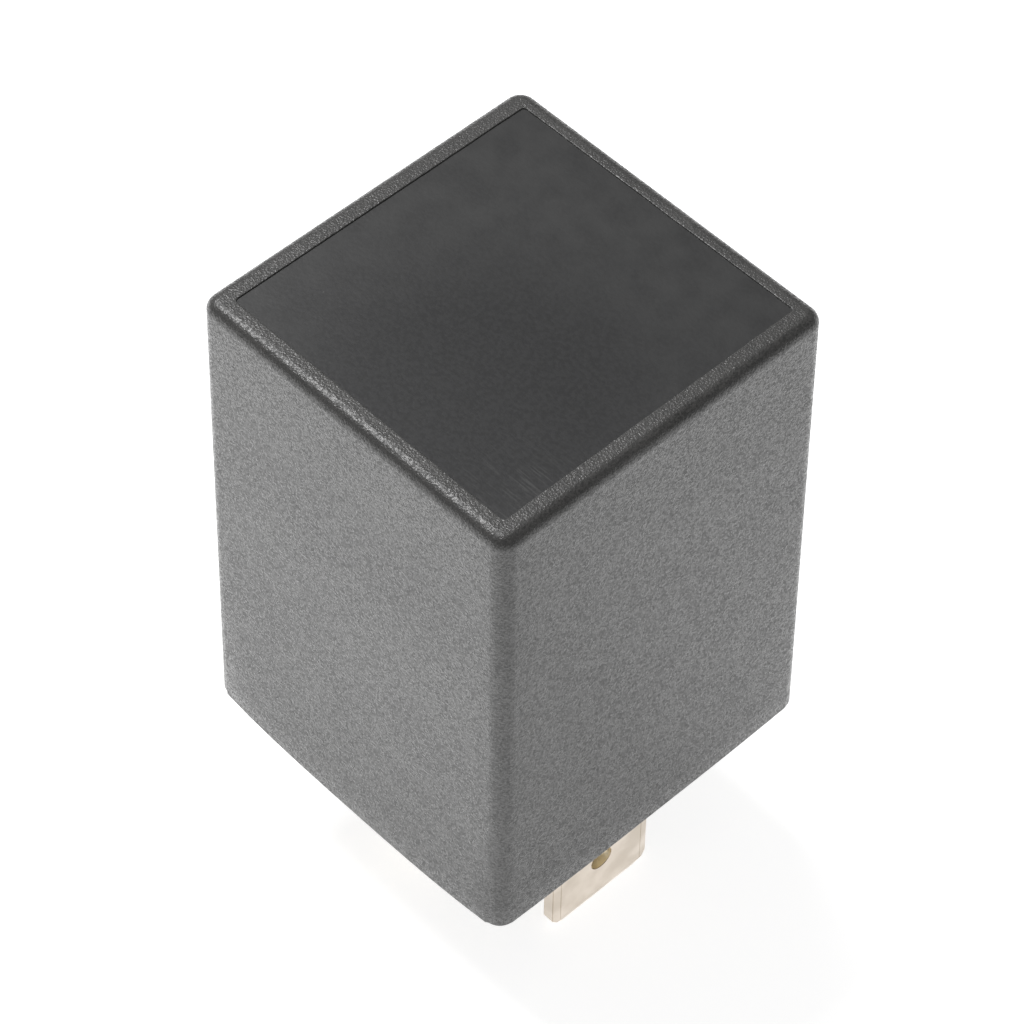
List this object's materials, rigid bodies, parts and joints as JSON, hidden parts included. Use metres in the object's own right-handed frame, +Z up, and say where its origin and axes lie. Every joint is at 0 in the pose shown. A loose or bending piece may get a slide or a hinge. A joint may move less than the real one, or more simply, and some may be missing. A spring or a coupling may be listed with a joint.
{
  "type": "automotive relay",
  "caption": "Plug-in automotive power relay in a tall square moulded can, with flat blade terminals below and a hinged-armature switch inside.",
  "frame": {"origin": "middle of the base's underside, the face that meets the socket", "axes": "+Z up through the roof, blades pointing along -Z; load blades stand off the middle along Y, coil blades along X"},
  "size_m": [0.03, 0.03, 0.0532],
  "materials": {
    "can_moulding": "spark-eroded grain on the sides and rim, smooth panel in the roof",
    "base_moulding": "plain moulded",
    "tinned_brass": "matt tin plate",
    "plated_steel": "zinc plated",
    "nylon": "natural, moulded",
    "enamelled_copper": "enamelled wire",
    "bare_copper": "bare braid",
    "spring_bronze": "rolled strip",
    "contact_silver": "silver alloy, pressed",
    "resistor_coat": "lacquered"
  },
  "bodies": {
    "frame": {"cover": "can_moulding", "base": "base_moulding", "terminal_30": "tinned_brass", "terminal_87": "tinned_brass", "terminal_85": "tinned_brass", "terminal_86": "tinned_brass", "yoke": "plated_steel", "core": "plated_steel", "bobbin": "nylon", "winding": "enamelled_copper", "coil_lead_85": "enamelled_copper", "coil_lead_86": "enamelled_copper", "fixed_contact": "contact_silver", "yoke_rivets": "plated_steel", "armature_stop": "spring_bronze", "braid": "bare_copper", "resistor": "resistor_coat", "resistor_lead_85": "tinned_brass", "resistor_lead_86": "tinned_brass"},
    "armature": {"armature": "plated_steel", "contact_spring": "spring_bronze", "moving_contact": "contact_silver", "armature_rivets": "plated_steel"}
  },
  "joints": [
    {"name": "armature_hinge", "type": "hinge", "parent": "frame", "child": "armature", "pos_m": [0, 0.0109, 0.0332], "axis": [1, 0, 0], "range_deg": [0, 4], "stiffness_Nm_per_rad": 0.15, "springref_deg": -4.01, "deforming": ["contact_spring", "braid"]}
  ]
}
